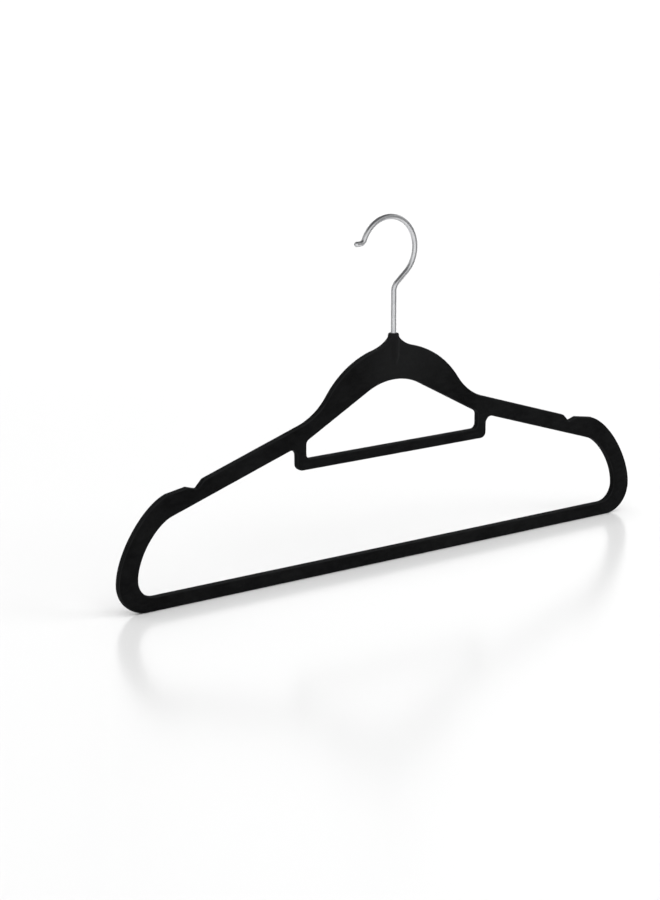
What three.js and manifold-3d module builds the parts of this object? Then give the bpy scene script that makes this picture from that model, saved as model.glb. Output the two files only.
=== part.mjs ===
// A slim flocked suit hanger with a swivelling wire hook: one moulded frame, the bush pressed into
// its neck, and the wire hook that turns in the bush.
// Millimetres, +Z up, +X along the shoulders, -Y to the front.
// The origin is the middle of the trouser bar's underside.
import * as THREE from "three";
import { mergeVertices } from "three/addons/utils/BufferGeometryUtils.js";
import Module from "manifold-3d";

const wasm = await Module();
wasm.setup();

// ---- driving dimensions ----
const HALF_WIDTH = 222.5; // centre line to the tip of a shoulder
const PLATE = 5.5; // thickness of the moulding, front to back
const EDGE = 1.4; // rounding along the edges of the moulding
const EDGE_STEPS = 2; // facets across one rounded edge
const CURVE_STEPS = 6; // half the facets along one bend of the outline
const SAME = 0.01; // outline points nearer than this are one point

const BAR_HEIGHT = 10; // trouser bar, bottom to top
const CORNER = 21; // outer radius of a lower corner
const INNER_CORNER = 12.5; // inner radius of a lower corner
const END_BAND = 15; // width of the moulding at a lower corner

const ARM_ANGLE = THREE.MathUtils.degToRad(17.64); // fall of a shoulder below the horizontal
const ARM_HEIGHT = 13.2; // arm, measured straight down
const ARM_MARK = new THREE.Vector2(92, 103); // a point on the upper edge of an arm
const ARCH_RADIUS = 68.4; // bell-shaped top of the middle blade
const ARCH_CENTRE = 84.8; // its height
const FLARE_RADIUS = 45; // hollow bend from the arch into an arm

const NOTCH_X = 161.5; // bottom of a strap notch, from the centre line
const NOTCH_DEPTH = 3.9; // below the line of the arm
const NOTCH_STEP = 5.5; // from the bottom to the step's upper corner, along X
const NOTCH_LIP = 7.5; // from the bottom to the lip on the shoulder side
const NOTCH_ROUND = 1.5; // how far the notch's corners are rounded
const LIP_RISE = 0.7; // the lip above the line of the arm

const SHOULDER_RUN = 38.5; // from the tip of a shoulder in to the end of its bend
const SHOULDER_RISE = 3; // end of the bend above the line of the arm
const SHOULDER_PULL = 20; // reach of the bend's handles, at the tip and at its end
const SHOULDER_FALL = 6; // fall of the handle at its end
const OPENING_RUN = 26.5; // the same for the inner side of the shoulder
const OPENING_PULL = new THREE.Vector2(12.5, 15.5); // handles along the arm, and up from the corner

const WINDOW_HALF = 74.3; // half the width of the window over the accessory bar
const WINDOW_TOP = 129; // top of the window
const WINDOW_ARCH = 48.7; // radius of the top of the window
const WINDOW_SLANT = THREE.MathUtils.degToRad(28); // fall of the window's sloping sides
const WINDOW_ROUND = 3.5; // radius of the window's corners
const ACCESSORY_BOTTOM = 76.2; // underside of the accessory bar
const ACCESSORY_HEIGHT = 7.7; // its height
const LEG_OUTER = 82; // outer face of a leg that carries the accessory bar
const LEG_ROUND = 4.6; // radius of the leg's corners

const NECK_TOP = 161.2; // rim that the hook comes out of
const NECK_BASE = 5.2; // half its width where it meets the blade
const NECK_BASE_Z = 157;
const NECK_FOOT = 16; // from the centre line to where the neck rises out of the arch
const NECK_BEND = new THREE.Vector2(9, 153.4); // handle of the bend from the arch into the neck
const NECK_TIP = new THREE.Vector2(2.6, 159.9); // end of the plate, hidden inside the boss
const BOSS_RADIUS = 4.1; // round boss that the neck's bore runs in
const BOSS_LOW = 137; // lower end of the boss, where it runs out into the blade
const BOSS_CREST = 141; // where it stands clear of the faces
const BOSS_CREST_RADIUS = 3.35;
const BOSS_SHOULDER = 146; // full radius from here up
const BOSS_RIM = 3.3; // radius of the rim at its top
const RIM_ROUND = 0.4; // rounding of the rim, out and down
const BORE_RADIUS = 2.9;
const BORE_DEPTH = 18.2; // below the rim

const WIRE = 1.8; // radius of the hook's wire
const BUSH_INNER = 2.1;
const BUSH_OUTER = 2.6;
const BUSH_LENGTH = 14;
const BUSH_SUNK = 0.3; // top of the bush below the rim
const HEAD_RADIUS = 2.5; // upset head on the lower end of the stem
const HEAD_HEIGHT = 2.2;
const PLAY = 0.3; // between the head and the bush

const RING_X = -4.5; // centre of the hook's ring, measured from the stem
const RING_Z = 219.3;
const RING_RADIUS = 22.3; // to the middle of the wire
const RING_FROM = -49.4; // degrees, where the slanting stretch joins the ring
const RING_TO = 158; // degrees, where the lip begins
const BEND_RADIUS = 8; // bend from the stem into the slanting stretch
const LIP_RADIUS = 4;
const LIP_TURN = 68; // degrees
const LIP_STRAIGHT = 2.6;
const WIRE_SIDES = 16;
const WIRE_PITCH = 2.6; // length of one facet along the wire

// ---- materials ----
const flocked = new THREE.MeshStandardMaterial({ color: 0x161617, roughness: 0.96, metalness: 0 });
const steel = new THREE.MeshStandardMaterial({ color: 0xc9cacc, roughness: 0.22, metalness: 1 });
const nylon = new THREE.MeshStandardMaterial({ color: 0x202124, roughness: 0.55, metalness: 0 });

// ---- helpers ----
const point = (x, y) => new THREE.Vector2(x, y);

function solidOf(geometry) {
  const bare = geometry.clone();
  bare.deleteAttribute("normal");
  bare.deleteAttribute("uv");
  const merged = mergeVertices(bare, 1e-4);
  return new wasm.Manifold(
    new wasm.Mesh({
      numProp: 3,
      vertProperties: new Float32Array(merged.attributes.position.array),
      triVerts: new Uint32Array(merged.index.array),
    }),
  );
}

function geometryOf(solid) {
  const mesh = solid.getMesh();
  const geometry = new THREE.BufferGeometry();
  geometry.setAttribute("position", new THREE.BufferAttribute(mesh.vertProperties, 3));
  geometry.setIndex(new THREE.BufferAttribute(mesh.triVerts, 1));
  const faceted = geometry.toNonIndexed();
  faceted.computeVertexNormals();
  return faceted;
}

// A solid of revolution about +Z, from its profile of [radius, height] pairs, bottom to top.
function turned(profile, sides) {
  const outline = profile.map(([radius, height]) => point(radius, height));
  return new THREE.LatheGeometry(outline, sides).rotateX(Math.PI / 2);
}

// The right half of an outline runs from the centre line back to the centre line;
// this adds its mirror image on the left. Points that fall together are taken once.
function mirrored(rightHalf) {
  const right = rightHalf.filter((p, i) => i === 0 || p.distanceTo(rightHalf[i - 1]) > SAME);
  const left = right
    .slice(1, -1)
    .reverse()
    .map((p) => point(-p.x, p.y));
  return [...right, ...left];
}

// Rounds the corner at b of the run a, b, c, and leaves the path at the end of the bend.
function roundCorner(path, a, b, c, radius) {
  const toA = a.clone().sub(b).normalize();
  const toC = c.clone().sub(b).normalize();
  const half = Math.acos(THREE.MathUtils.clamp(toA.dot(toC), -1, 1)) / 2;
  const reach = radius / Math.tan(half);
  const start = b.clone().addScaledVector(toA, reach);
  const end = b.clone().addScaledVector(toC, reach);
  const centre = b
    .clone()
    .addScaledVector(toA.clone().add(toC).normalize(), radius / Math.sin(half));
  const from = Math.atan2(start.y - centre.y, start.x - centre.x);
  const to = Math.atan2(end.y - centre.y, end.x - centre.x);
  const turn = Math.atan2(Math.sin(to - from), Math.cos(to - from));
  path.lineTo(start.x, start.y);
  path.absarc(centre.x, centre.y, radius, from, to, turn < 0);
}

const armSlope = Math.tan(ARM_ANGLE);
const armTop = (x) => ARM_MARK.y - (x - ARM_MARK.x) * armSlope;

// ---- outline of the frame ----
function outerHalf() {
  const path = new THREE.Path();
  path.moveTo(0, 0);
  path.lineTo(HALF_WIDTH - CORNER, 0);
  path.absarc(HALF_WIDTH - CORNER, CORNER, CORNER, -Math.PI / 2, 0, false);

  // rounded shoulder end, from upright at the tip to the fall of the shoulder
  const bendEnd = HALF_WIDTH - SHOULDER_RUN;
  const crown = point(bendEnd, armTop(bendEnd) + SHOULDER_RISE);
  path.bezierCurveTo(
    HALF_WIDTH,
    CORNER + SHOULDER_PULL,
    HALF_WIDTH - SHOULDER_PULL,
    crown.y - SHOULDER_FALL,
    crown.x,
    crown.y,
  );

  // strap notch
  const lip = point(NOTCH_X + NOTCH_LIP, armTop(NOTCH_X + NOTCH_LIP) + LIP_RISE);
  const pit = point(NOTCH_X, armTop(NOTCH_X) - NOTCH_DEPTH);
  const step = point(NOTCH_X - NOTCH_STEP, armTop(NOTCH_X - NOTCH_STEP));
  const along = point(step.x - 20, armTop(step.x - 20));
  roundCorner(path, crown, lip, pit, NOTCH_ROUND);
  roundCorner(path, lip, pit, step, NOTCH_ROUND);
  roundCorner(path, pit, step, along, 2 * NOTCH_ROUND);

  // arm, hollow bend, and the arch of the blade, all tangent to each other
  const up = point(Math.sin(ARM_ANGLE), Math.cos(ARM_ANGLE));
  const down = point(Math.cos(ARM_ANGLE), -Math.sin(ARM_ANGLE));
  const foot = ARM_MARK.clone().addScaledVector(up, FLARE_RADIUS).sub(point(0, ARCH_CENTRE));
  const b = foot.dot(down);
  const c = foot.lengthSq() - (ARCH_RADIUS + FLARE_RADIUS) ** 2;
  const flare = foot
    .addScaledVector(down, -b + Math.sqrt(b * b - c))
    .add(point(0, ARCH_CENTRE));
  const toArch = Math.atan2(ARCH_CENTRE - flare.y, -flare.x);
  const toArm = Math.atan2(-up.y, -up.x);
  path.absarc(flare.x, flare.y, FLARE_RADIUS, toArm, toArch, true);
  const neckFoot = Math.acos(NECK_FOOT / ARCH_RADIUS);
  path.absarc(0, ARCH_CENTRE, ARCH_RADIUS, toArch + Math.PI, neckFoot, false);

  // neck
  path.quadraticCurveTo(NECK_BEND.x, NECK_BEND.y, NECK_BASE, NECK_BASE_Z);
  path.lineTo(NECK_TIP.x, NECK_TIP.y);
  path.lineTo(0, NECK_TIP.y);
  return path.getPoints(CURVE_STEPS);
}

// ---- the opening between the arms and the trouser bar ----
function lowerOpeningHalf() {
  const inner = HALF_WIDTH - END_BAND;
  const underArm = (x) => armTop(x) - ARM_HEIGHT;
  const path = new THREE.Path();
  path.moveTo(0, BAR_HEIGHT);
  path.lineTo(inner - INNER_CORNER, BAR_HEIGHT);
  path.absarc(
    inner - INNER_CORNER,
    BAR_HEIGHT + INNER_CORNER,
    INNER_CORNER,
    -Math.PI / 2,
    0,
    false,
  );
  const crown = point(inner - OPENING_RUN, underArm(inner - OPENING_RUN));
  path.bezierCurveTo(
    inner,
    BAR_HEIGHT + INNER_CORNER + OPENING_PULL.y,
    crown.x + OPENING_PULL.x,
    crown.y - OPENING_PULL.x * armSlope,
    crown.x,
    crown.y,
  );
  const armpit = point(LEG_OUTER, underArm(LEG_OUTER));
  const heel = point(LEG_OUTER, ACCESSORY_BOTTOM);
  const middle = point(0, ACCESSORY_BOTTOM);
  roundCorner(path, crown, armpit, heel, LEG_ROUND);
  roundCorner(path, armpit, heel, middle, LEG_ROUND);
  path.lineTo(0, ACCESSORY_BOTTOM);
  return path.getPoints(CURVE_STEPS);
}

// ---- the window over the accessory bar ----
function windowHalf() {
  const floor = ACCESSORY_BOTTOM + ACCESSORY_HEIGHT;
  const centre = WINDOW_TOP - WINDOW_ARCH;
  const tangent = point(
    WINDOW_ARCH * Math.sin(WINDOW_SLANT),
    centre + WINDOW_ARCH * Math.cos(WINDOW_SLANT),
  );
  const cheek = point(
    WINDOW_HALF,
    tangent.y - (WINDOW_HALF - tangent.x) * Math.tan(WINDOW_SLANT),
  );
  const foot = point(WINDOW_HALF, floor);
  const path = new THREE.Path();
  path.moveTo(0, floor);
  roundCorner(path, point(0, floor), foot, cheek, WINDOW_ROUND);
  roundCorner(path, foot, cheek, tangent, WINDOW_ROUND);
  path.lineTo(tangent.x, tangent.y);
  path.absarc(0, centre, WINDOW_ARCH, Math.PI / 2 - WINDOW_SLANT, Math.PI / 2, false);
  return path.getPoints(CURVE_STEPS);
}

// ---- frame ----
function makeFrame() {
  const outline = new THREE.Shape(mirrored(outerHalf()));
  outline.holes.push(new THREE.Path(mirrored(lowerOpeningHalf())));
  outline.holes.push(new THREE.Path(mirrored(windowHalf())));
  const plate = new THREE.ExtrudeGeometry(outline, {
    depth: PLATE - 2 * EDGE,
    bevelEnabled: true,
    bevelThickness: EDGE,
    bevelSize: EDGE,
    bevelOffset: -EDGE,
    bevelSegments: EDGE_STEPS,
  });
  plate.rotateX(Math.PI / 2);
  plate.translate(0, PLATE / 2 - EDGE, 0);

  const boss = turned(
    [
      [0, BOSS_LOW],
      [BOSS_CREST_RADIUS, BOSS_CREST],
      [BOSS_RADIUS, BOSS_SHOULDER],
      [BOSS_RADIUS, NECK_BASE_Z],
      [BOSS_RIM + RIM_ROUND, NECK_TOP - RIM_ROUND],
      [BOSS_RIM, NECK_TOP],
      [0, NECK_TOP],
    ],
    32,
  );
  const bore = turned(
    [
      [0, NECK_TOP - BORE_DEPTH],
      [BORE_RADIUS, NECK_TOP - BORE_DEPTH],
      [BORE_RADIUS, NECK_TOP + 1],
      [0, NECK_TOP + 1],
    ],
    24,
  );
  const solid = solidOf(plate).add(solidOf(boss)).subtract(solidOf(bore));
  const frame = new THREE.Mesh(geometryOf(solid), flocked);
  frame.name = "frame";
  return frame;
}

// ---- bush in the neck ----
const bushTop = NECK_TOP - BUSH_SUNK;
const bushBottom = bushTop - BUSH_LENGTH;

function makeBush() {
  const geometry = turned(
    [
      [BUSH_INNER, 0],
      [BUSH_OUTER, 0],
      [BUSH_OUTER, BUSH_LENGTH],
      [BUSH_INNER, BUSH_LENGTH],
      [BUSH_INNER, 0],
    ],
    24,
  );
  const bush = new THREE.Mesh(geometry, nylon);
  bush.name = "neck_bush";
  bush.position.z = bushBottom;
  return bush;
}

// ---- hook ----
// The middle line of the wire, from the stem's foot to the lip, in the plane of the frame.
function hookLine(foot) {
  const start = THREE.MathUtils.degToRad(RING_FROM);
  const end = THREE.MathUtils.degToRad(RING_TO);
  const ringStart = point(
    RING_X + RING_RADIUS * Math.cos(start),
    RING_Z + RING_RADIUS * Math.sin(start),
  );
  // the slanting stretch leaves the ring along its tangent and meets the stem's line here
  const elbow = point(0, ringStart.y + ringStart.x / Math.tan(start));
  const path = new THREE.Path();
  path.moveTo(0, foot);
  roundCorner(path, point(0, foot), elbow, ringStart, BEND_RADIUS);
  path.lineTo(ringStart.x, ringStart.y);
  path.absarc(RING_X, RING_Z, RING_RADIUS, start, end, false);

  // lip: a short bend outwards, then a straight tip
  const lipCentre = point(
    RING_X + (RING_RADIUS + LIP_RADIUS) * Math.cos(end),
    RING_Z + (RING_RADIUS + LIP_RADIUS) * Math.sin(end),
  );
  const lipEnd = end + Math.PI - THREE.MathUtils.degToRad(LIP_TURN);
  path.absarc(lipCentre.x, lipCentre.y, LIP_RADIUS, end - Math.PI, lipEnd, true);
  const tip = path.currentPoint.clone();
  path.lineTo(
    tip.x + LIP_STRAIGHT * Math.sin(lipEnd),
    tip.y - LIP_STRAIGHT * Math.cos(lipEnd),
  );
  return path;
}

class WireLine extends THREE.Curve {
  constructor(path) {
    super();
    this.path = path;
  }
  getPoint(t, target = new THREE.Vector3()) {
    const p = this.path.getPointAt(t);
    return target.set(p.x, 0, p.y);
  }
}

function makeHook() {
  const headTop = bushBottom - PLAY;
  const line = hookLine(headTop - HEAD_HEIGHT / 2);
  const section = new THREE.Shape();
  section.absarc(0, 0, WIRE, 0, 2 * Math.PI, false);
  const wire = new THREE.ExtrudeGeometry(section, {
    steps: Math.round(line.getLength() / WIRE_PITCH),
    curveSegments: WIRE_SIDES / 2,
    extrudePath: new WireLine(line),
  });
  const head = turned(
    [
      [0, headTop - HEAD_HEIGHT],
      [HEAD_RADIUS - 0.5, headTop - HEAD_HEIGHT],
      [HEAD_RADIUS, headTop - HEAD_HEIGHT + 0.5],
      [HEAD_RADIUS, headTop],
      [0, headTop],
    ],
    24,
  );
  const end = line.getPointAt(1);
  const tip = new THREE.SphereGeometry(WIRE, WIRE_SIDES, WIRE_SIDES / 2);
  tip.translate(end.x, 0, end.y);
  const solid = solidOf(wire).add(solidOf(head)).add(solidOf(tip));
  const hook = new THREE.Mesh(geometryOf(solid), steel);
  hook.name = "hook";
  return hook;
}

const group = new THREE.Group();
group.name = "clothes_hanger";
group.add(makeFrame(), makeBush(), makeHook());

export default group;
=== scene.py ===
"""Looks of a slim flocked suit hanger with a swivelling wire hook, built around its CAD frame.

Metres, +Z up, +X along the shoulders, -Y to the front. The origin is the middle of the trouser
bar's underside. Lengths are given in millimetres through MM.
"""

import math

import bmesh
import bpy
import numpy as np
from mathutils import Matrix, Vector, noise
from mathutils.geometry import area_tri, delaunay_2d_cdt


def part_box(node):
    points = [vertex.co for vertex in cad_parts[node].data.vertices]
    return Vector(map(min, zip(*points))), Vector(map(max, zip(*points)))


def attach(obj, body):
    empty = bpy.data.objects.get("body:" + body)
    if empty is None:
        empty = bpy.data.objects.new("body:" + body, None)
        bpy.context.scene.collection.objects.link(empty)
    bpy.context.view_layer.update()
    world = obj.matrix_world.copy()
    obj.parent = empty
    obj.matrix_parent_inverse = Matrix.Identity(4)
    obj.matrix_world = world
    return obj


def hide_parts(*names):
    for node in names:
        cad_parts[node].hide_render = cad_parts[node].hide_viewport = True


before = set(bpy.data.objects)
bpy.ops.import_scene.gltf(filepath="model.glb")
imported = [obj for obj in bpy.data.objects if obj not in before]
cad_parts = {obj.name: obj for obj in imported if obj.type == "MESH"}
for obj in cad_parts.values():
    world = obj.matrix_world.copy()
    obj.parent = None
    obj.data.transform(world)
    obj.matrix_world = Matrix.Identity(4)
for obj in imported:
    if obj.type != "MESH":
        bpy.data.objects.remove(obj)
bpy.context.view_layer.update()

MM = 0.001

# ---- driving dimensions of the moulding, as in the CAD part ----
FRAME_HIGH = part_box("frame")[1]
HALF_WIDTH = FRAME_HIGH.x
NECK_TOP = FRAME_HIGH.z
COLLAR_RADIUS = FRAME_HIGH.y
PLATE = 5.5 * MM
EDGE = 1.3 * MM  # rounding between a face and the rim
CROWN = 0.1 * MM  # how far the rim swells between its two edges

BAR_HEIGHT = 10 * MM
CORNER = 21 * MM
INNER_CORNER = 12.5 * MM
END_BAND = 15 * MM

ARM_ANGLE = math.radians(17.64)
ARM_HEIGHT = 13.2 * MM
ARM_MARK = Vector((92, 103)) * MM
ARCH_RADIUS = 68.4 * MM
ARCH_CENTRE = Vector((0, 84.8)) * MM
FLARE_RADIUS = 45 * MM

NOTCH_X = 161.5 * MM
NOTCH_DEPTH = 3.9 * MM
NOTCH_STEP = 5.5 * MM
NOTCH_LIP = 7.5 * MM
NOTCH_ROUND = 1.5 * MM
LIP_RISE = 0.7 * MM

SHOULDER_RUN = 38.5 * MM  # from the tip in to where the shoulder's bend ends
SHOULDER_RISE = 3 * MM
SHOULDER_PULL = 20 * MM  # reach of the bend's handles, at the tip and at its end
SHOULDER_FALL = 6 * MM  # fall of the handle at its end

OPENING_RUN = 26.5 * MM
OPENING_PULL = Vector((12.5, 15.5)) * MM  # handles along the arm, and up from the corner

WINDOW_HALF = 74.3 * MM
WINDOW_TOP = 129 * MM
WINDOW_ARCH = 48.7 * MM
WINDOW_SLANT = math.radians(28)
WINDOW_ROUND = 3.5 * MM
ACCESSORY_BOTTOM = 76.2 * MM
ACCESSORY_HEIGHT = 7.7 * MM
LEG_OUTER = 82 * MM
LEG_ROUND = 4.6 * MM

NECK_FOOT = 16 * MM
NECK_BASE = Vector((5.2, 157)) * MM
NECK_BEND = Vector((9, 153.4)) * MM
NECK_TIP = Vector((2.6, 159.9)) * MM
RIDGE_PROFILE = (  # height and radius of the round ridge that holds the bore, in mm
    (137.6, 1.8),
    (141, 3.3),
    (146, 3.98),
    (155.8, 3.98),
    (157.6, 1.8),
)
RIDGE_BLEND = 0.7 * MM  # size of the fillet between the ridge and the plate
RIDGE_SPREAD = 6 * MM  # half the width of the finely meshed strip round the ridge
RIDGE_MARGIN = 2 * MM  # how far the finely meshed strip reaches below the ridge
COLLAR_SIDE = (  # inset from the collar's radius, and height, in mm
    (0.5, 154.4),
    (0.15, 154.7),
    (0, 155.3),
    (0, 157),
    (0.12, 158.6),
)
COLLAR_RIM = ((0.3, 1), (0.45, 0.5), (0.7, 0.15), (0.95, 0))  # inset, and depth below the top, in mm
BORE_RADIUS = 2.9 * MM
BORE_DEPTH = 18.2 * MM
BORE_MOUTH = ((0, 0.5), (0.06, 0.2), (0.25, -0.1))  # widening, and depth below the top, in mm

# ---- the bush and the hook ----
BUSH_LOW, BUSH_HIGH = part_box("neck_bush")
BUSH_BORE = 2.1 * MM
BUSH_CHAMFER = 0.15 * MM
WIRE = 1.8 * MM
HEAD_RADIUS = 2.5 * MM
HEAD_HEIGHT = 2.2 * MM
HEAD_ROUND = 0.5 * MM
HEAD_CHAMFER = 0.15 * MM
HOOK_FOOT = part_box("hook")[0].z
RING_CENTRE = Vector((-4.5, 219.3)) * MM
RING_RADIUS = 22.3 * MM
RING_FROM = math.radians(-49.4)
RING_TO = math.radians(158)
BEND_RADIUS = 8 * MM
LIP_RADIUS = 4 * MM
LIP_TURN = math.radians(68)
LIP_STRAIGHT = 2.6 * MM

# ---- fineness of the meshes ----
CURVE_PITCH = 1.1 * MM
STRAIGHT_PITCH = 2.6 * MM
ARC_STEPS = 5  # least steps per radian of an arc
SAME = 0.01 * MM  # points of an outline that are closer than this are one point
WELD = SAME / 4  # points that a boolean leaves closer than this are one point
TOUCHING = SAME / 100  # the same for the points of a face while it is triangulated
SLIVER = 1e-6  # area of a triangle, over its longest side squared, that counts as none
EDGE_STEPS = 6
FACE_PITCH = 3 * MM
RIDGE_PITCH = 0.55 * MM
ROUND_SIDES = 64
WIRE_SIDES = 28
WIRE_PITCH = 0.9 * MM
TIP_STEPS = 8
FRAME_CREASE = 42  # degrees between two faces, above which their edge stays sharp
BUSH_CREASE = 40
HOOK_CREASE = 50

# ---- the nap of the flock ----
NAP_RELIEF = 0.05 * MM
NAP_WAVE = 9 * MM
NAP_FADE = (135 * MM, 150 * MM)  # heights between which the relief dies away below the collar
NECK_LIGHT_PLACE = (8 * MM, 0, 150 * MM)  # middle of the painted pool of light at the neck, where the nap is painted paler
NECK_LIGHT_FADE = (8 * MM, 55 * MM)  # distances from it over which the painted light fades out

# ---- camera ----
CAMERA_PLACE = Vector((-0.9173, -1.1919, 0.4603))
CAMERA_YAW = math.radians(35.93)
CAMERA_PITCH = math.radians(14.24)
CAMERA_LENS = 89.64
CAMERA_SENSOR = 36

# ---- the studio: metres, watts for the key light, watts per square metre for the sun ----
FLOOR_REACH = 60
FLOOR_FADE = (0.35, 2.2)  # distances from the hanger over which the painted shade round it fades and the floor gets paler
SKY_FADE = (0.35, 0.85)  # sines of the elevations between which the world gets darker
SKY_STRENGTH = (1.06, 0.14)  # at the horizon and overhead
SUN_TOWARD = Vector((-0.2, -0.3, 1))
SUN_SPREAD = math.radians(75)
SUN_POWER = 2.1
KEY_PLACE = Vector((0.9, -0.9, 0.8))
KEY_TARGET = Vector((0, 0, 0.12))
KEY_SIZE = 0.7
KEY_POWER = 5
CARD_GREY = (0.42, 0.42, 0.42, 1)
CARD_SIDE = 0.2  # from the hook's stem out to either card
CARD_MIDDLE = Vector((0, 0, 0.23))
CARD_HALF_LENGTH = 0.143
CARD_HALF_HEIGHT = Vector((0, 0, 0.13))


# ---- outlines in the plane of the hanger: x across, z up ----
def at(x, z):
    return Vector((x, z))


class Outline:
    """A run of points along lines, arcs and curves."""

    def __init__(self, x, z):
        self.points = [at(x, z)]

    def add(self, place, length, pitch):
        """Adds points along place(t), t from 0 to 1, no more than pitch apart."""
        steps = max(1, math.ceil(length / pitch))
        for i in range(steps + 1):
            p = place(i / steps)
            if (p - self.points[-1]).length > SAME:
                self.points.append(p)

    def line(self, x, z):
        start, end = self.points[-1].copy(), at(x, z)
        self.add(lambda t: start.lerp(end, t), (end - start).length, STRAIGHT_PITCH)

    def arc(self, centre, radius, start, end):
        """Goes straight to the arc's start, then round it from angle start to angle end."""

        def place(t):
            angle = start + (end - start) * t
            return centre + radius * at(math.cos(angle), math.sin(angle))

        first = place(0)
        self.line(first.x, first.y)
        pitch = min(CURVE_PITCH, radius / ARC_STEPS)
        self.add(place, abs(end - start) * radius, pitch)

    def curve(self, *controls):
        """A Bezier curve from the last point, through any number of controls."""
        chain = [self.points[-1].copy(), *controls]
        length = sum((b - a).length for a, b in zip(chain, chain[1:]))

        def place(t):
            level = chain
            while len(level) > 1:
                level = [a.lerp(b, t) for a, b in zip(level, level[1:])]
            return level[0]

        self.add(place, length, CURVE_PITCH)

    def corner(self, before, corner, after, radius):
        """Rounds the corner of the run before, corner, after."""
        back = (before - corner).normalized()
        on = (after - corner).normalized()
        half = back.angle(on) / 2
        centre = corner + (back + on).normalized() * radius / math.sin(half)
        start = corner + back * radius / math.tan(half) - centre
        end = corner + on * radius / math.tan(half) - centre
        first = math.atan2(start.y, start.x)
        turn = math.atan2(end.y, end.x) - first
        turn = math.atan2(math.sin(turn), math.cos(turn))
        self.arc(centre, radius, first, first + turn)

    def mirrored(self):
        """A closed loop: the run, which starts and ends at x = 0, and its mirror image."""
        left = [at(-p.x, p.y) for p in reversed(self.points[1:-1])]
        return self.points + left


def arm_top(x):
    return ARM_MARK.y - (x - ARM_MARK.x) * math.tan(ARM_ANGLE)


def under_arm(x):
    return arm_top(x) - ARM_HEIGHT


def outer_outline():
    """The moulding from the middle of its underside, round a shoulder, up to the neck."""
    path = Outline(0, 0)
    path.line(HALF_WIDTH - CORNER, 0)
    path.arc(at(HALF_WIDTH - CORNER, CORNER), CORNER, -math.pi / 2, 0)
    x = HALF_WIDTH - SHOULDER_RUN
    crown = at(x, arm_top(x) + SHOULDER_RISE)
    path.curve(
        at(HALF_WIDTH, CORNER + SHOULDER_PULL),
        at(HALF_WIDTH - SHOULDER_PULL, crown.y - SHOULDER_FALL),
        crown,
    )

    lip = at(NOTCH_X + NOTCH_LIP, arm_top(NOTCH_X + NOTCH_LIP) + LIP_RISE)
    pit = at(NOTCH_X, arm_top(NOTCH_X) - NOTCH_DEPTH)
    step = at(NOTCH_X - NOTCH_STEP, arm_top(NOTCH_X - NOTCH_STEP))
    path.corner(crown, lip, pit, NOTCH_ROUND)
    path.corner(lip, pit, step, NOTCH_ROUND)
    path.corner(pit, step, ARM_MARK, 2 * NOTCH_ROUND)

    # the hollow bend is tangent to the arm and to the arch of the blade
    up = at(math.sin(ARM_ANGLE), math.cos(ARM_ANGLE))
    down = at(math.cos(ARM_ANGLE), -math.sin(ARM_ANGLE))
    foot = ARM_MARK + up * FLARE_RADIUS - ARCH_CENTRE
    b = foot.dot(down)
    c = foot.length_squared - (ARCH_RADIUS + FLARE_RADIUS) ** 2
    flare = ARCH_CENTRE + foot + down * (math.sqrt(b * b - c) - b)
    to_arch = math.atan2(ARCH_CENTRE.y - flare.y, ARCH_CENTRE.x - flare.x)
    to_arm = math.atan2(-up.y, -up.x)
    flare_end = to_arch - (2 * math.pi if to_arch > to_arm else 0)
    path.arc(flare, FLARE_RADIUS, to_arm, flare_end)
    arch_start = to_arch % (2 * math.pi) - math.pi
    arch_end = math.acos(NECK_FOOT / ARCH_RADIUS)
    path.arc(ARCH_CENTRE, ARCH_RADIUS, arch_start, arch_end)

    path.curve(NECK_BEND, NECK_BASE)
    path.line(*NECK_TIP)
    path.line(0, NECK_TIP.y)
    return path.mirrored()


def opening_outline():
    """The opening between the arms and the trouser bar."""
    inner = HALF_WIDTH - END_BAND
    path = Outline(0, BAR_HEIGHT)
    path.line(inner - INNER_CORNER, BAR_HEIGHT)
    path.arc(at(inner - INNER_CORNER, BAR_HEIGHT + INNER_CORNER), INNER_CORNER, -math.pi / 2, 0)
    crown = at(inner - OPENING_RUN, under_arm(inner - OPENING_RUN))
    path.curve(
        at(inner, BAR_HEIGHT + INNER_CORNER + OPENING_PULL.y),
        at(crown.x + OPENING_PULL.x, crown.y - OPENING_PULL.x * math.tan(ARM_ANGLE)),
        crown,
    )
    armpit = at(LEG_OUTER, under_arm(LEG_OUTER))
    heel = at(LEG_OUTER, ACCESSORY_BOTTOM)
    path.corner(crown, armpit, heel, LEG_ROUND)
    path.corner(armpit, heel, at(0, ACCESSORY_BOTTOM), LEG_ROUND)
    path.line(0, ACCESSORY_BOTTOM)
    return path.mirrored()


def window_outline():
    """The window over the accessory bar."""
    floor = ACCESSORY_BOTTOM + ACCESSORY_HEIGHT
    centre = at(0, WINDOW_TOP - WINDOW_ARCH)
    tangent = centre + WINDOW_ARCH * at(math.sin(WINDOW_SLANT), math.cos(WINDOW_SLANT))
    cheek = at(WINDOW_HALF, tangent.y - (WINDOW_HALF - tangent.x) * math.tan(WINDOW_SLANT))
    foot = at(WINDOW_HALF, floor)
    path = Outline(0, floor)
    path.corner(at(0, floor), foot, cheek, WINDOW_ROUND)
    path.corner(foot, cheek, tangent, WINDOW_ROUND)
    path.arc(centre, WINDOW_ARCH, math.pi / 2 - WINDOW_SLANT, math.pi / 2)
    return path.mirrored()


# ---- mesh helpers ----
def mesh_object(name, points, faces):
    mesh = bpy.data.meshes.new(name)
    mesh.from_pydata([tuple(p) for p in points], [], faces)
    mesh.validate()
    mesh.update()
    piece = bpy.data.objects.new(name, mesh)
    bpy.context.scene.collection.objects.link(piece)
    return piece


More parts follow.
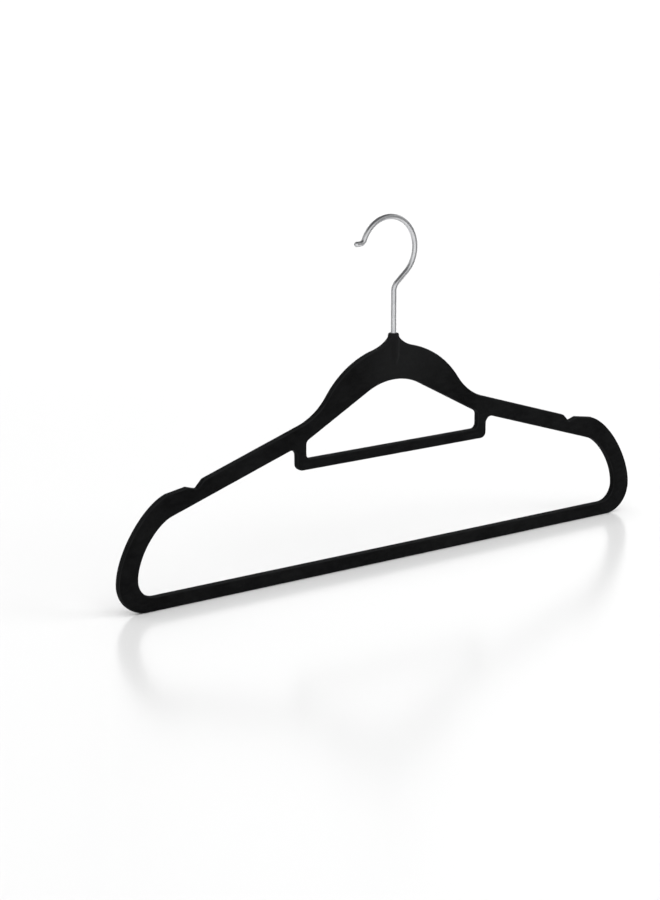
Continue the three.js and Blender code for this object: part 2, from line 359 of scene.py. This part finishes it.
def turned(name, profile, sides=ROUND_SIDES):
    """A closed solid of revolution about Z, from [radius, height] pairs. A profile that starts and
    ends on the axis is closed by its poles; any other profile is a ring and closes on itself."""
    ring = profile[0][0] > 0
    points, rows = [], []
    for radius, height in profile:
        if radius == 0:
            rows.append([len(points)] * sides)
            points.append(Vector((0, 0, height)))
            continue
        rows.append(list(range(len(points), len(points) + sides)))
        for i in range(sides):
            angle = 2 * math.pi * i / sides
            points.append(Vector((radius * math.cos(angle), radius * math.sin(angle), height)))
    faces = []
    pairs = list(zip(rows, rows[1:])) + ([(rows[-1], rows[0])] if ring else [])
    for low, high in pairs:
        for i in range(sides):
            j = (i + 1) % sides
            corners = [low[i], low[j], high[j], high[i]]
            faces.append(list(dict.fromkeys(corners)))
    return mesh_object(name, points, faces)


def outward(piece):
    """Turns the normals of a closed mesh outwards."""
    bm = bmesh.new()
    bm.from_mesh(piece.data)
    bmesh.ops.recalc_face_normals(bm, faces=bm.faces)
    bm.to_mesh(piece.data)
    bm.free()


def smooth(piece, degrees):
    """Shades the piece smooth, apart from the edges that turn by more than the given angle."""
    piece.data.polygons.foreach_set("use_smooth", [True] * len(piece.data.polygons))
    piece.data.set_sharp_from_angle(angle=math.radians(degrees))


def combine(piece, other, operation):
    """Joins other to piece, or cuts it from piece, cleans the new mesh and removes other."""
    modifier = piece.modifiers.new(operation, "BOOLEAN")
    modifier.operation = operation
    modifier.solver = "EXACT"
    modifier.object = other
    bpy.context.view_layer.update()
    evaluated = piece.evaluated_get(bpy.context.evaluated_depsgraph_get())
    result = bpy.data.meshes.new_from_object(evaluated)
    piece.modifiers.remove(modifier)
    bm = bmesh.new()
    bm.from_mesh(result)
    bmesh.ops.remove_doubles(bm, verts=bm.verts, dist=WELD)
    bmesh.ops.dissolve_degenerate(bm, edges=bm.edges, dist=WELD)
    bmesh.ops.triangulate(bm, faces=[face for face in bm.faces if len(face.verts) > 4])
    bm.to_mesh(result)
    bm.free()
    piece.data = result
    bpy.data.objects.remove(other)


# ---- the flocked moulding ----
def rim_profile():
    """Pairs of how far a ring is set in from the outline and where it lies front to back."""
    flat = PLATE / 2 - EDGE
    front = []
    for i in range(EDGE_STEPS + 1):
        angle = math.pi / 2 * i / EDGE_STEPS
        front.append((CROWN + EDGE * (1 - math.sin(angle)), -flat - EDGE * math.cos(angle)))
    back = [(depth, -y) for depth, y in reversed(front)]
    return front + [(0, 0)] + back


def inset(loop, depth, side):
    """The loop moved sideways into the material; side is 1 for the outer outline, -1 for a hole."""
    moved = []
    for i, p in enumerate(loop):
        along = (loop[(i + 1) % len(loop)] - loop[i - 1]).normalized()
        moved.append(p + side * depth * at(-along.y, along.x))
    return moved


def inside(points, loop):
    """Which of the points lie inside the closed loop."""
    p = np.array(points)[:, None, :]
    a = np.array(loop)
    b = np.roll(a, -1, axis=0)
    crosses = (a[:, 1] > p[..., 1]) != (b[:, 1] > p[..., 1])
    rise = np.where(a[:, 1] == b[:, 1], 1, b[:, 1] - a[:, 1])
    x = a[:, 0] + (p[..., 1] - a[:, 1]) / rise * (b[:, 0] - a[:, 0])
    return (crosses & (p[..., 0] < x)).sum(axis=1) % 2 == 1


def within(points, loops, reach=0):
    """Which of the points lie inside the first loop and outside the others, and further than
    reach from every corner of them."""
    kept = inside(points, loops[0])
    for hole in loops[1:]:
        kept &= ~inside(points, hole)
    for loop in loops:
        gap = np.array(points)[:, None, :] - np.array(loop)
        kept &= (gap**2).sum(axis=2).min(axis=1) > reach**2
    return kept


def lattice(low, high, pitch):
    """Points of a triangular grid over a rectangle."""
    row = pitch * math.sqrt(3) / 2
    for j in range(math.ceil((high.y - low.y) / row)):
        for i in range(math.ceil((high.x - low.x) / pitch)):
            yield at(low.x + (i + j % 2 / 2) * pitch, low.y + j * row)


def ridge_radius(z):
    """Radius of the ridge at a height, eased between the points of its profile, or 0."""
    for (low, start), (high, end) in zip(RIDGE_PROFILE, RIDGE_PROFILE[1:]):
        if low * MM <= z <= high * MM:
            t = (z / MM - low) / (high - low)
            return (start + (end - start) * t * t * (3 - 2 * t)) * MM
    return 0


def face_height(p):
    """How far a point of the front or back face stands from the middle plane: the flat plate, with
    the round ridge of the hook's bore swelling out of it."""
    radius = ridge_radius(p.y)
    ridge = math.sqrt(max(0, radius * radius - p.x * p.x))
    overlap = max(RIDGE_BLEND - abs(ridge - PLATE / 2), 0) / RIDGE_BLEND
    return max(ridge, PLATE / 2) + overlap * overlap * RIDGE_BLEND / 4 * (radius > 0)


def face_points(loops):
    """Points spread over the face inside its border loops, close together round the ridge."""
    low = at(-RIDGE_SPREAD, RIDGE_PROFILE[0][0] * MM - RIDGE_MARGIN)
    high = at(RIDGE_SPREAD, NECK_TIP.y)
    coarse = [
        p
        for p in lattice(at(-HALF_WIDTH, 0), at(HALF_WIDTH, NECK_TIP.y), FACE_PITCH)
        if abs(p.x) > RIDGE_SPREAD + FACE_PITCH / 2 or p.y < low.y - FACE_PITCH / 2
    ]
    fine = list(lattice(low, high, RIDGE_PITCH))
    spread = []
    for points, pitch in ((coarse, FACE_PITCH), (fine, RIDGE_PITCH)):
        spread += [p for p, kept in zip(points, within(points, loops, pitch / 2)) if kept]
    return spread


def sliver(a, b, c):
    """Whether a triangle has no area, as those outside a straight run of the border have."""
    longest = max((b - a).length_squared, (c - b).length_squared, (a - c).length_squared)
    return area_tri(a, b, c) < longest * SLIVER


def plate():
    """The moulding without its collar: rounded rims round every outline, and two faces."""
    outlines = [outer_outline(), opening_outline(), window_outline()]
    profile = rim_profile()
    points, faces, borders, border_index = [], [], [], []
    for number, loop in enumerate(outlines):
        side = 1 if number == 0 else -1
        rings = []
        for depth, y in profile:
            moved = inset(loop, depth, side)
            rings.append(range(len(points), len(points) + len(moved)))
            points += [Vector((p.x, y, p.y)) for p in moved]
        for a, b in zip(rings, rings[1:]):
            for i in range(len(loop)):
                j = (i + 1) % len(loop)
                faces.append((a[i], a[j], b[j], b[i]))
        borders.append(inset(loop, profile[0][0], side))
        border_index.append((rings[0], rings[-1]))

    flat = [p for loop in borders for p in loop]
    edges, start = [], 0
    for loop in borders:
        edges += [(start + i, start + (i + 1) % len(loop)) for i in range(len(loop))]
        start += len(loop)
    front = [i for pair in border_index for i in pair[0]]
    back = [i for pair in border_index for i in pair[1]]
    spread = face_points(borders)
    for p in spread:
        height = face_height(p)
        front.append(len(points))
        points.append(Vector((p.x, -height, p.y)))
        back.append(len(points))
        points.append(Vector((p.x, height, p.y)))
    found, _, triangles, origin, _, _ = delaunay_2d_cdt(flat + spread, edges, [], 0, TOUCHING)
    middles = [sum((found[i] for i in triangle), at(0, 0)) / 3 for triangle in triangles]
    for triangle, kept in zip(triangles, within(middles, borders)):
        if kept and not sliver(*[found[i] for i in triangle]):
            corners = [origin[i][0] for i in triangle]
            faces.append([front[i] for i in corners])
            faces.append([back[i] for i in reversed(corners)])
    return mesh_object("flocked_frame", points, faces)


def roughen(piece):
    """Moves the points of the flock, mostly inwards, by up to a few hundredths of a millimetre in
    slow waves, and less and less towards the height where the collar joins on."""
    low, high = NAP_FADE
    moved = []
    for v in piece.data.vertices:
        wave = noise.noise(v.co / NAP_WAVE) + 0.5 * noise.noise(v.co / NAP_WAVE * 3)
        share = min(1, max(0, (high - v.co.z) / (high - low)))
        moved.extend(v.co + v.normal * (wave * 0.5 - 0.5) * NAP_RELIEF * share)
    piece.data.vertices.foreach_set("co", moved)
    piece.data.update()


def flocked_frame():
    """The moulding: the plate, with the collar joined on and the bore cut out."""
    body = plate()
    outward(body)
    roughen(body)
    side = [(COLLAR_RADIUS - inward * MM, height * MM) for inward, height in COLLAR_SIDE]
    rim = [(COLLAR_RADIUS - inward * MM, NECK_TOP - down * MM) for inward, down in COLLAR_RIM]
    collar = turned("collar", [(0, side[0][1]), *side, *rim, (0, NECK_TOP)])
    outward(collar)
    combine(body, collar, "UNION")
    bottom = NECK_TOP - BORE_DEPTH
    mouth = [(BORE_RADIUS + wider * MM, NECK_TOP - down * MM) for wider, down in BORE_MOUTH]
    bore = turned("bore", [(0, bottom), (BORE_RADIUS, bottom), *mouth, (0, mouth[-1][1])])
    outward(bore)
    combine(body, bore, "DIFFERENCE")
    smooth(body, FRAME_CREASE)
    return body


# ---- the bush in the neck ----
def bush():
    """A plain ring, with its four edges cut back."""
    inner, outer, cut = BUSH_BORE, BUSH_HIGH.x, BUSH_CHAMFER
    low, high = BUSH_LOW.z, BUSH_HIGH.z
    piece = turned(
        "bush",
        [
            (inner, low + cut),
            (inner + cut, low),
            (outer - cut, low),
            (outer, low + cut),
            (outer, high - cut),
            (outer - cut, high),
            (inner + cut, high),
            (inner, high - cut),
        ],
    )
    outward(piece)
    smooth(piece, BUSH_CREASE)
    return piece


# ---- the wire hook ----
class Track:
    """A plane line drawn by going straight and by turning; heading is the angle from +X."""

    def __init__(self, x, z, heading):
        self.place, self.heading, self.length = at(x, z), heading, 0
        self.stops = [(self.place, heading, 0)]

    def go(self, length, pitch=2 * WIRE_PITCH):
        steps = math.ceil(length / pitch)
        step = length / steps
        ahead = at(math.cos(self.heading), math.sin(self.heading))
        for _ in range(steps):
            self.place = self.place + step * ahead
            self.length += step
            self.stops.append((self.place, self.heading, self.length))

    def turn(self, radius, angle):
        """Bends to the left for a positive angle, to the right for a negative one."""
        side = math.copysign(1, angle)
        steps = math.ceil(abs(angle) * radius / WIRE_PITCH)
        out = at(math.sin(self.heading), -math.cos(self.heading)) * side * radius
        centre = self.place - out
        first, start = self.place - centre, self.heading
        for i in range(1, steps + 1):
            part = angle * i / steps
            self.place = centre + Matrix.Rotation(part, 2) @ first
            self.heading = start + part
            self.length += abs(angle) * radius / steps
            self.stops.append((self.place, self.heading, self.length))


def hook_track(foot):
    """The middle line of the wire, from the foot of the stem up round the ring to the lip."""
    ring_start = RING_CENTRE + RING_RADIUS * at(math.cos(RING_FROM), math.sin(RING_FROM))
    elbow = at(0, ring_start.y + ring_start.x / math.tan(RING_FROM))
    reach = BEND_RADIUS * math.tan(-RING_FROM / 2)
    track = Track(0, foot, math.pi / 2)
    track.go(elbow.y - reach - foot)
    track.turn(BEND_RADIUS, RING_FROM)
    track.go((ring_start - elbow).length - reach)
    track.turn(RING_RADIUS, RING_TO - RING_FROM)
    track.turn(LIP_RADIUS, -LIP_TURN)
    track.go(LIP_STRAIGHT, LIP_STRAIGHT / 2)
    return track


def wire_hook():
    """One length of wire with an upset head at its foot and a rounded tip. Each point also keeps
    where it lies round and along the wire, for the drawing marks of its material."""
    head_low = HOOK_FOOT
    head_high = head_low + HEAD_HEIGHT
    track = hook_track(head_high)
    up = math.pi / 2
    stops = [(at(0, head_low), up, -HEAD_HEIGHT, 0)]
    for radius, height in (
        (HEAD_RADIUS - HEAD_ROUND, head_low),
        (HEAD_RADIUS - HEAD_CHAMFER / 2, head_low + HEAD_CHAMFER),
        (HEAD_RADIUS, head_low + HEAD_ROUND),
        (HEAD_RADIUS, head_high - HEAD_CHAMFER),
        (HEAD_RADIUS - HEAD_CHAMFER, head_high),
        (WIRE + HEAD_CHAMFER, head_high),
    ):
        stops.append((at(0, height), up, height - head_high, radius))
    stops += [(p, heading, length, WIRE) for p, heading, length in track.stops[1:]]
    end, heading, length, _ = stops[-1]
    ahead = at(math.cos(heading), math.sin(heading))
    for i in range(1, TIP_STEPS + 1):
        angle = math.pi / 2 * i / TIP_STEPS
        out = WIRE * math.sin(angle)
        radius = WIRE * math.cos(angle) if i < TIP_STEPS else 0
        stops.append((end + ahead * out, heading, length + out, radius))

    points, marks, rows, faces = [], [], [], []
    for place, heading, length, radius in stops:
        across = Vector((math.sin(heading), 0, -math.cos(heading)))
        centre = Vector((place.x, 0, place.y))
        if radius == 0:
            rows.append([len(points)] * WIRE_SIDES)
            points.append(centre)
            marks += [0, 0, length]
            continue
        rows.append(list(range(len(points), len(points) + WIRE_SIDES)))
        for i in range(WIRE_SIDES):
            angle = 2 * math.pi * i / WIRE_SIDES
            c, s = math.cos(angle), math.sin(angle)
            points.append(centre + radius * (c * across + s * Vector((0, 1, 0))))
            marks += [radius * c, radius * s, length]
    for low, high in zip(rows, rows[1:]):
        for i in range(WIRE_SIDES):
            j = (i + 1) % WIRE_SIDES
            faces.append(list(dict.fromkeys([low[i], low[j], high[j], high[i]])))
    piece = mesh_object("wire_hook", points, faces)
    attribute = piece.data.attributes.new("wire_mark", "FLOAT_VECTOR", "POINT")
    attribute.data.foreach_set("vector", marks)
    outward(piece)
    smooth(piece, HOOK_CREASE)
    return piece


# ---- materials ----
class Look:
    """A node material under construction."""

    def __init__(self, name):
        self.material = bpy.data.materials.new(name)
        self.material.use_nodes = True
        self.tree = self.material.node_tree
        self.tree.nodes.clear()
        self.shader = self.add("ShaderNodeBsdfPrincipled")
        output = self.add("ShaderNodeOutputMaterial")
        self.tree.links.new(self.shader.outputs["BSDF"], output.inputs["Surface"])

    def add(self, kind, **settings):
        node = self.tree.nodes.new(kind)
        for key, value in settings.items():
            setattr(node, key, value)
        return node

    def feed(self, node, socket, value):
        """Gives an input a number, a colour or another node's output."""
        if hasattr(value, "is_output"):
            self.tree.links.new(value, node.inputs[socket])
        else:
            node.inputs[socket].default_value = value

    def noise(self, vector, scale, detail=2.0, roughness=0.5):
        node = self.add("ShaderNodeTexNoise")
        self.feed(node, "Vector", vector)
        self.feed(node, "Scale", scale)
        self.feed(node, "Detail", detail)
        self.feed(node, "Roughness", roughness)
        return node.outputs["Fac"]

    def voronoi(self, vector, scale):
        node = self.add("ShaderNodeTexVoronoi")
        self.feed(node, "Vector", vector)
        self.feed(node, "Scale", scale)
        return node.outputs["Distance"]

    def maths(self, operation, a, b=0):
        """The result of a maths operation on one value or two."""
        node = self.add("ShaderNodeMath", operation=operation)
        self.feed(node, 0, a)
        self.feed(node, 1, b)
        return node.outputs[0]

    def remap(self, value, low, high, to_low, to_high):
        """The value eased from the range low to high into the range to_low to to_high."""
        node = self.add("ShaderNodeMapRange", interpolation_type="SMOOTHSTEP")
        self.feed(node, "Value", value)
        self.feed(node, "From Min", low)
        self.feed(node, "From Max", high)
        self.feed(node, "To Min", to_low)
        self.feed(node, "To Max", to_high)
        return node.outputs["Result"]

    def mix(self, factor, a, b):
        """A colour between a and b, which are colours or outputs; factor 0 gives a."""
        node = self.add("ShaderNodeMix", data_type="RGBA")
        self.feed(node, "Factor", factor)
        self.feed(node, 6, (*a, 1) if isinstance(a, tuple) else a)
        self.feed(node, 7, (*b, 1) if isinstance(b, tuple) else b)
        return node.outputs[2]

    def stretched(self, vector, scale):
        """The vector with each of its parts multiplied, so that a pattern is finer along it."""
        node = self.add("ShaderNodeVectorMath", operation="MULTIPLY")
        self.feed(node, 0, vector)
        self.feed(node, 1, scale)
        return node.outputs[0]

    def bump(self, height, distance, strength, normal=None):
        node = self.add("ShaderNodeBump")
        self.feed(node, "Height", height)
        self.feed(node, "Distance", distance)
        self.feed(node, "Strength", strength)
        if normal is not None:
            self.feed(node, "Normal", normal)
        return node.outputs["Normal"]

    def give(self, **values):
        """Sets the Principled shader's sockets, named with _ for a space."""
        for name, value in values.items():
            self.feed(self.shader, name.replace("_", " "), value)
        return self.material


def flock_look():
    """Black flock: short upright fibres, darker between the tufts, brushed a little this way and that
    in patches, with painted sheen on the roundings of its edges, where the flock is also a little
    thinner, and a painted pool of light round the neck."""
    shade, tips = (0.0005, 0.0005, 0.0006), (0.0058, 0.006, 0.0062)
    edge_sheen_tips, neck_light_tips = (0.011, 0.0112, 0.0115), (0.0105, 0.0108, 0.011)
    look = Look("black_flock")
    coords = look.add("ShaderNodeTexCoord")
    place = coords.outputs["Object"]
    patches = look.remap(look.noise(place, 28, 3), 0.35, 0.65, 0, 1)
    brushed = look.remap(look.noise(look.stretched(place, (1, 1, 2.2)), 170, 3), 0.3, 0.7, 0, 1)
    tufts = look.noise(place, 1300, 3, 0.7)
    fibres = look.voronoi(place, 3600)

    nap = look.maths("ADD", look.maths("MULTIPLY", patches, 0.4), look.maths("MULTIPLY", brushed, 0.35))
    nap = look.maths("ADD", nap, look.maths("MULTIPLY", look.remap(tufts, 0.3, 0.7, 0, 1), 0.25))
    colour = look.mix(nap, shade, tips)

    # Painted sheen: the roundings between the faces and the rims are painted paler, broken up by noise,
    # standing for the sheen the flock catches along its edges; the flock is also a little thinner
    # there.
    split = look.add("ShaderNodeSeparateXYZ")
    look.feed(split, 0, coords.outputs["Normal"])
    facing = look.maths("ABSOLUTE", split.outputs[1])
    off_rim = look.remap(facing, 0.12, 0.5, 0, 1)
    off_face = look.remap(facing, 0.72, 0.97, 1, 0)
    sheen_breakup = look.remap(look.noise(place, 90, 2), 0.2, 0.7, 0.35, 1)
    painted_edge_sheen = look.maths("MULTIPLY", look.maths("MULTIPLY", off_rim, off_face), sheen_breakup)
    colour = look.mix(painted_edge_sheen, colour, edge_sheen_tips)

    # Painted pool of light: the nap is painted paler round the neck and fades with distance, standing
    # for light falling on the neck from above.
    away = look.add("ShaderNodeVectorMath", operation="DISTANCE")
    look.feed(away, 0, place)
    look.feed(away, 1, NECK_LIGHT_PLACE)
    painted_neck_light = look.remap(away.outputs["Value"], *NECK_LIGHT_FADE, 0.65, 0)
    colour = look.mix(painted_neck_light, colour, neck_light_tips)

    height = look.maths("ADD", tufts, look.maths("MULTIPLY", fibres, 0.5))
    normal = look.bump(brushed, 0.25 * MM, 0.35)
    normal = look.bump(height, 0.22 * MM, 0.8, normal)
    return look.give(
        Base_Color=colour,
        Roughness=look.remap(tufts, 0.3, 0.7, 0.86, 1),
        Specular_IOR_Level=0.08,
        Sheen_Weight=0.4,
        Sheen_Roughness=0.4,
        Sheen_Tint=(0.075, 0.077, 0.08, 1),
        Normal=normal,
    )


def wire_look():
    """Bright plated steel wire with faint lines from its drawing and a few soft marks."""
    bright, dull, line_grey = (0.68, 0.685, 0.695), (0.58, 0.585, 0.6), (0.36, 0.365, 0.375)
    look = Look("plated_wire")
    mark = look.add("ShaderNodeAttribute", attribute_name="wire_mark").outputs["Vector"]
    lines = look.noise(look.stretched(mark, (5200, 5200, 60)), 1, 3, 0.6)
    cloud = look.noise(look.stretched(mark, (260, 260, 130)), 1, 3)
    pits = look.noise(look.stretched(mark, (2600, 2600, 1900)), 1, 2)
    colour = look.mix(look.remap(cloud, 0.35, 0.7, 0, 1), bright, dull)
    colour = look.mix(look.remap(lines, 0.55, 0.75, 0, 0.35), colour, line_grey)
    scratched = look.remap(lines, 0.3, 0.75, 0.2, 0.3)
    dulled = look.remap(cloud, 0.35, 0.75, 0, 0.08)
    normal = look.bump(lines, 0.02 * MM, 0.5)
    normal = look.bump(pits, 0.02 * MM, 0.25, normal)
    return look.give(
        Base_Color=colour,
        Metallic=1.0,
        Roughness=look.maths("ADD", scratched, dulled),
        Specular_Tint=(0.3, 0.3, 0.31, 1),
        Normal=normal,
    )


def bush_look():
    """Smooth black nylon, polished in rings where the wire rubs."""
    dark, pale = (0.013, 0.0135, 0.014), (0.024, 0.0245, 0.0255)
    look = Look("bush_nylon")
    place = look.add("ShaderNodeTexCoord").outputs["Object"]
    grain = look.noise(place, 2400, 3, 0.6)
    rings = look.noise(look.stretched(place, (30, 30, 2600)), 1, 2)
    colour = look.mix(look.remap(grain, 0.3, 0.7, 0, 1), dark, pale)
    normal = look.bump(look.maths("ADD", grain, rings), 0.02 * MM, 0.4)
    return look.give(
        Base_Color=colour,
        Roughness=look.remap(rings, 0.3, 0.7, 0.38, 0.6),
        Normal=normal,
    )


def floor_look():
    """A pale, softly glossy board, painted darker near the hanger as shade that offsets the key lamp's
    extra light there, and paler away from it.
    """
    # Painted shade: the floor's colour is darker near the hanger, offsetting the key lamp's extra light
    # there.
    near_painted_shade, far = (0.83, 0.83, 0.83), (0.97, 0.97, 0.97)
    look = Look("pale_floor")
    place = look.add("ShaderNodeTexCoord").outputs["Object"]
    length = look.add("ShaderNodeVectorMath", operation="LENGTH")
    look.feed(length, 0, place)
    away = look.remap(length.outputs["Value"], *FLOOR_FADE, 0, 1)
    return look.give(Base_Color=look.mix(away, near_painted_shade, far), Roughness=0.2, IOR=1.7)


# ---- the studio ----
def studio_floor():
    """A floor so wide that its end is at the horizon."""
    reach = FLOOR_REACH
    floor = mesh_object(
        "studio_floor",
        [(-reach, -reach, 0), (reach, -reach, 0), (reach, reach, 0), (-reach, reach, 0)],
        [(0, 1, 2, 3)],
    )
    floor.data.materials.append(floor_look())


def grey_card(name, middle):
    """An upright grey card, edge on to the camera, that shows only in reflections: it gives the
    wire its darker edges."""
    deep = middle - CAMERA_PLACE
    deep.z = 0
    deep.length = CARD_HALF_LENGTH
    low, high = middle - CARD_HALF_HEIGHT, middle + CARD_HALF_HEIGHT
    piece = mesh_object(name, [low - deep, low + deep, high + deep, high - deep], [(0, 1, 2, 3)])
    piece.data.materials.append(Look(name).give(Base_Color=CARD_GREY, Roughness=1.0))
    piece.visible_camera = False
    piece.visible_diffuse = False
    piece.visible_shadow = False


def soft_light(name, kind, power, toward, place=(0, 0, 0)):
    """A light that shines from the given direction and is left out of the reflections."""
    data = bpy.data.lights.new(name, kind)
    data.energy = power
    light = bpy.data.objects.new(name, data)
    light.location = place
    light.rotation_euler = toward.to_track_quat("Z", "Y").to_euler()
    light.visible_glossy = False
    bpy.context.scene.collection.objects.link(light)
    return data


def soft_world():
    """White all round, and darker towards the zenith, so that the plated wire keeps its edges."""
    world = bpy.data.worlds.new("studio")
    world.use_nodes = True
    nodes, links = world.node_tree.nodes, world.node_tree.links
    direction = nodes.new("ShaderNodeTexCoord").outputs["Generated"]
    split = nodes.new("ShaderNodeSeparateXYZ")
    links.new(direction, split.inputs[0])
    fade = nodes.new("ShaderNodeMapRange")
    fade.interpolation_type = "SMOOTHSTEP"
    for socket, number in zip(("From Min", "From Max", "To Min", "To Max"), SKY_FADE + SKY_STRENGTH):
        fade.inputs[socket].default_value = number
    links.new(split.outputs[2], fade.inputs["Value"])
    links.new(fade.outputs["Result"], nodes["Background"].inputs["Strength"])
    nodes["Background"].inputs["Color"].default_value = (1, 1, 1, 1)
    bpy.context.scene.world = world


def studio_light(camera_right):
    """A broad sun and a square key light, and a grey card on either side of the hook."""
    overhead = soft_light("overhead", "SUN", SUN_POWER, SUN_TOWARD)
    overhead.angle = SUN_SPREAD
    key = soft_light("key", "AREA", KEY_POWER, KEY_PLACE - KEY_TARGET, KEY_PLACE)
    key.shape = "SQUARE"
    key.size = KEY_SIZE
    grey_card("card_left", CARD_MIDDLE - camera_right * CARD_SIDE)
    grey_card("card_right", CARD_MIDDLE + camera_right * CARD_SIDE)


def camera():
    """Adds the camera, and returns the direction to its right."""
    level = math.cos(CAMERA_PITCH)
    forward = Vector(
        (math.sin(CAMERA_YAW) * level, math.cos(CAMERA_YAW) * level, -math.sin(CAMERA_PITCH))
    )
    data = bpy.data.cameras.new("camera")
    data.lens = CAMERA_LENS
    data.sensor_width = CAMERA_SENSOR
    piece = bpy.data.objects.new("camera", data)
    piece.location = CAMERA_PLACE
    piece.rotation_euler = forward.to_track_quat("-Z", "Y").to_euler()
    bpy.context.scene.collection.objects.link(piece)
    bpy.context.scene.camera = piece
    return forward.cross(Vector((0, 0, 1))).normalized()


# ---- the whole scene ----
def place_piece(piece, body, node, material):
    """Gives a piece its look, the body it rides on and the CAD node it stands for."""
    piece.data.materials.clear()
    piece.data.materials.append(material)
    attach(piece, body)
    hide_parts(node)


place_piece(flocked_frame(), "frame", "frame", flock_look())
place_piece(bush(), "frame", "neck_bush", bush_look())
place_piece(wire_hook(), "hook", "hook", wire_look())

camera_right = camera()
studio_floor()
soft_world()
studio_light(camera_right)
bpy.context.scene.view_settings.view_transform = "Standard"
